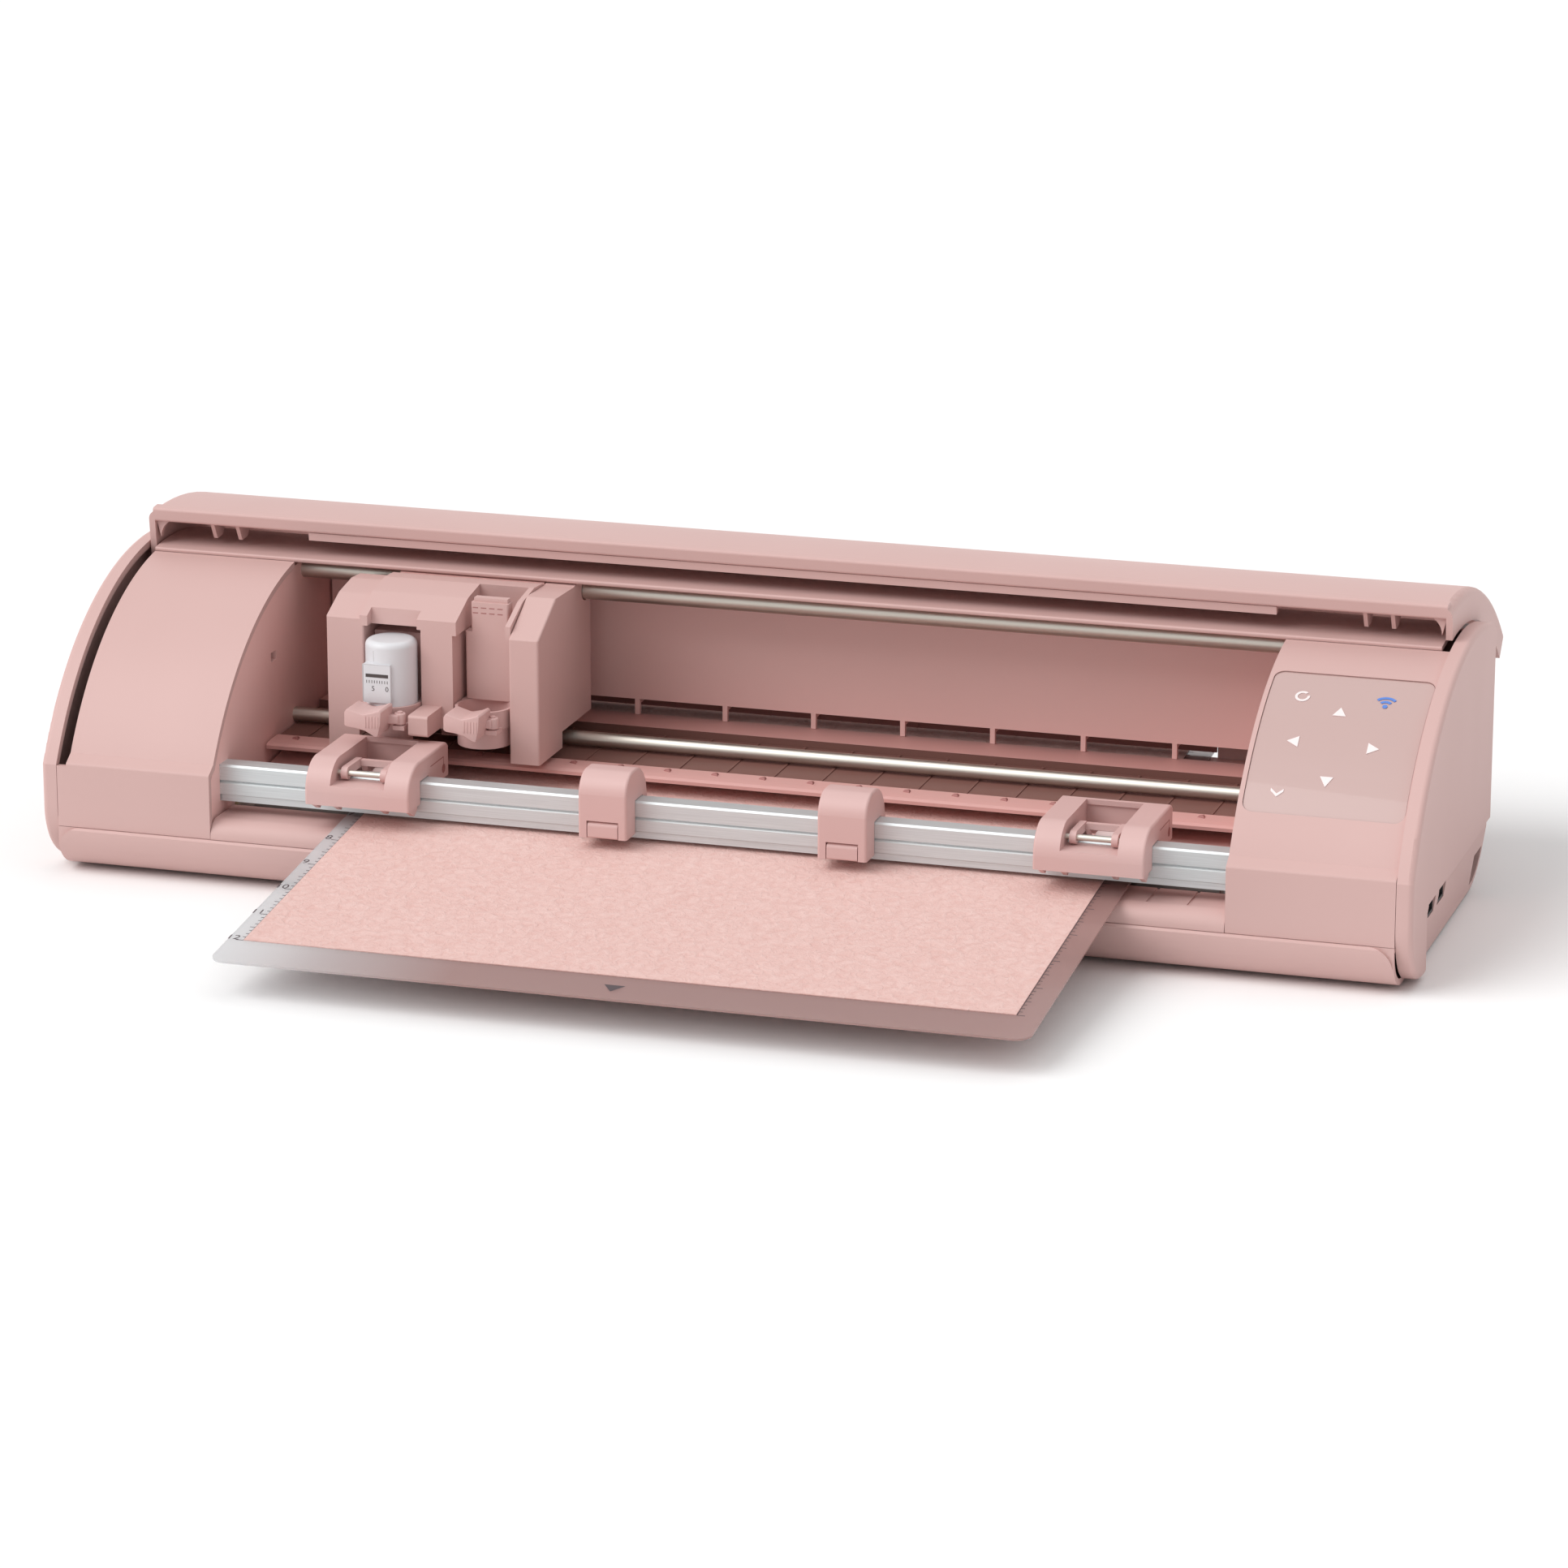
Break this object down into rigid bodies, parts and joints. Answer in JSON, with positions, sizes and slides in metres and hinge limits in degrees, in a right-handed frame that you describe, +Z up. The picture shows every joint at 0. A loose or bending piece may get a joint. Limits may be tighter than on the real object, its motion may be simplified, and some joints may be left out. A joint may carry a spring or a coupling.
{
  "type": "vinyl cutter",
  "caption": "Low half-round desktop cutting machine with its curved lid open, a tool carriage on a shaft, a front rail with rollers and clips, and a loaded cutting mat",
  "frame": {"origin": "on the surface the machine stands on, under the middle of everything, with the lid open and the mat loaded", "axes": "+X along the machine to the right as the user faces it, +Y to the back, +Z up"},
  "size_m": [0.561, 0.3428, 0.1294],
  "materials": {
    "pink_plastic": "satin moulded",
    "rose_plastic": "satin moulded, a shade darker",
    "drawn_aluminium": "drawn",
    "ground_steel": "ground",
    "white_plastic": "moulded",
    "mark_white": "printed",
    "mark_blue": "printed",
    "pad_film": "satin film",
    "black_rubber": "matte",
    "grey_rubber": "matte",
    "motor_steel": "satin",
    "sintered_bronze": "plain",
    "black_nylon": "plain",
    "board_green": "solder mask",
    "clear_mat": "tacky film",
    "card": "card with a felt-like face"
  },
  "bodies": {
    "chassis": {"base_tray": "pink_plastic", "carriage_motor": "motor_steel", "case_screws": "ground_steel", "control_icons": "mark_white", "control_pad": "pad_film", "cutting_strip": "black_nylon", "drive_belt": "black_rubber", "feed_motor": "motor_steel", "front_rail": "drawn_aluminium", "front_table": "pink_plastic", "guide_shaft": "ground_steel", "left_end_cap": "pink_plastic", "left_front_panel": "pink_plastic", "left_side_frame": "rose_plastic", "lower_guide_rod": "ground_steel", "lower_platen": "rose_plastic", "main_board": "board_green", "power_socket": "black_nylon", "rear_cover": "pink_plastic", "rear_inner_wall": "rose_plastic", "right_end_cap": "pink_plastic", "right_front_panel": "pink_plastic", "right_side_frame": "rose_plastic", "roller_bushes": "sintered_bronze", "rubber_feet": "black_rubber", "top_cover": "pink_plastic", "upper_guide": "rose_plastic", "usb_socket": "black_nylon", "wireless_icon": "mark_blue"},
    "lid": {"lid_shell": "pink_plastic", "lid_inner_rib": "rose_plastic"},
    "carriage": {"carriage_frame": "rose_plastic", "carriage_housing": "pink_plastic", "carriage_side_block": "pink_plastic", "carriage_bushes": "sintered_bronze"},
    "tool_1": {"tool_1_holder": "rose_plastic", "autoblade": "white_plastic"},
    "tool_2": {"tool_2_holder": "rose_plastic", "tool_2_insert": "rose_plastic"},
    "lever_1": {"tool_1_lever": "rose_plastic"},
    "lever_2": {"tool_2_lever": "rose_plastic"},
    "roller_unit_left": {"roller_housing_left": "pink_plastic", "pinch_pin_left": "ground_steel"},
    "roller_unit_right": {"roller_housing_right": "pink_plastic", "pinch_pin_right": "ground_steel"},
    "rocker_left": {"pinch_arm_left": "rose_plastic"},
    "rocker_right": {"pinch_arm_right": "rose_plastic"},
    "pinch_left": {"pinch_roller_left": "grey_rubber"},
    "pinch_right": {"pinch_roller_right": "grey_rubber"},
    "clip_left": {"hold_down_clip_left": "pink_plastic"},
    "clip_right": {"hold_down_clip_right": "pink_plastic"},
    "latch_left": {"clip_latch_left": "pink_plastic"},
    "latch_right": {"clip_latch_right": "pink_plastic"},
    "feed_roller": {"grit_roller": "ground_steel", "feed_gear": "black_nylon"},
    "pinion": {"feed_pinion": "ground_steel"},
    "belt_drive": {"motor_pulley": "black_nylon"},
    "belt_idler": {"idler_pulley": "black_nylon"},
    "mat": {"cutting_mat": "clear_mat", "card_sheet": "card"}
  },
  "joints": [
    {"name": "lid_swing", "type": "hinge", "parent": "chassis", "child": "lid", "pos_m": [0, 0.07442, -0.015], "axis": [1, 0, 0], "range_deg": [0, 54]},
    {"name": "carriage_travel", "type": "slide", "parent": "chassis", "child": "carriage", "axis": [1, 0, 0], "range_m": [-0.028, 0.29]},
    {"name": "tool_1_lift", "type": "slide", "parent": "carriage", "child": "tool_1", "axis": [0, 0, 1], "range_m": [-0.002, 0], "stiffness_N_per_m": 800, "springref_m": 0.002},
    {"name": "lever_1_swing", "type": "hinge", "parent": "tool_1", "child": "lever_1", "pos_m": [-0.1411, -0.00068, 0.065], "axis": [0, 0, 1], "range_deg": [0, 60]},
    {"name": "tool_2_lift", "type": "slide", "parent": "carriage", "child": "tool_2", "axis": [0, 0, 1], "range_m": [-0.002, 0], "stiffness_N_per_m": 800, "springref_m": 0.002},
    {"name": "lever_2_swing", "type": "hinge", "parent": "tool_2", "child": "lever_2", "pos_m": [-0.1032, 0.00352, 0.065], "axis": [0, 0, 1], "range_deg": [0, 60]},
    {"name": "roller_unit_left_slide", "type": "slide", "parent": "chassis", "child": "roller_unit_left", "axis": [1, 0, 0], "range_m": [-0.038, 0.048]},
    {"name": "rocker_left_lift", "type": "hinge", "parent": "roller_unit_left", "child": "rocker_left", "pos_m": [-0.145, -0.03018, 0.0498], "axis": [1, 0, 0], "range_deg": [0, 8], "stiffness_Nm_per_rad": 0.5, "springref_deg": -11.46},
    {"name": "pinch_left_spin", "type": "hinge", "parent": "rocker_left", "child": "pinch_left", "pos_m": [-0.145, -0.00658, 0.03927], "axis": [1, 0, 0], "range_deg": [-908, 1271]},
    {"name": "roller_unit_right_slide", "type": "slide", "parent": "chassis", "child": "roller_unit_right", "axis": [1, 0, 0], "range_m": [-0.034, 0.028]},
    {"name": "rocker_right_lift", "type": "hinge", "parent": "roller_unit_right", "child": "rocker_right", "pos_m": [0.154, -0.03018, 0.0498], "axis": [1, 0, 0], "range_deg": [0, 8], "stiffness_Nm_per_rad": 0.5, "springref_deg": -11.46},
    {"name": "pinch_right_spin", "type": "hinge", "parent": "rocker_right", "child": "pinch_right", "pos_m": [0.154, -0.00658, 0.03927], "axis": [1, 0, 0], "range_deg": [-908, 1271]},
    {"name": "clip_left_slide", "type": "slide", "parent": "chassis", "child": "clip_left", "axis": [1, 0, 0], "range_m": [-0.015, 0.03]},
    {"name": "latch_left_swing", "type": "hinge", "parent": "clip_left", "child": "latch_left", "pos_m": [-0.043, -0.03618, 0.039], "axis": [-1, 0, 0], "range_deg": [0, 80]},
    {"name": "clip_right_slide", "type": "slide", "parent": "chassis", "child": "clip_right", "axis": [1, 0, 0], "range_m": [-0.04, 0.03]},
    {"name": "latch_right_swing", "type": "hinge", "parent": "clip_right", "child": "latch_right", "pos_m": [0.055, -0.03618, 0.039], "axis": [-1, 0, 0], "range_deg": [0, 80]},
    {"name": "feed_spin", "type": "hinge", "parent": "chassis", "child": "feed_roller", "pos_m": [0, -0.00658, 0.02328], "axis": [1, 0, 0], "range_deg": [-1000, 714]},
    {"name": "pinion_spin", "type": "hinge", "parent": "chassis", "child": "pinion", "pos_m": [-0.221, 0.00736, 0.03722], "axis": [1, 0, 0], "range_deg": [-1786, 2501]},
    {"name": "mat_feed", "type": "slide", "parent": "chassis", "child": "mat", "axis": [0, 0.9945, 0.1045], "range_m": [-0.1, 0.14]},
    {"name": "belt_drive_spin", "type": "hinge", "parent": "chassis", "child": "belt_drive", "pos_m": [0.231, 0.08642, 0.104], "axis": [0, 0, 1], "range_deg": [-290, 2970]},
    {"name": "belt_idler_spin", "type": "hinge", "parent": "chassis", "child": "belt_idler", "pos_m": [-0.231, 0.08642, 0.104], "axis": [0, 0, 1], "range_deg": [-290, 2970]}
  ],
  "couplings": [
    {"joint": "pinion_spin", "follows": "feed_spin", "ratio": -2.5},
    {"joint": "mat_feed", "follows": "feed_spin", "m_per_rad": -0.008},
    {"joint": "pinch_left_spin", "follows": "feed_spin", "ratio": -1.2698},
    {"joint": "pinch_right_spin", "follows": "feed_spin", "ratio": -1.2698},
    {"joint": "belt_drive_spin", "follows": "carriage_travel", "rad_per_m": 178.57},
    {"joint": "belt_idler_spin", "follows": "carriage_travel", "rad_per_m": 178.57}
  ]
}
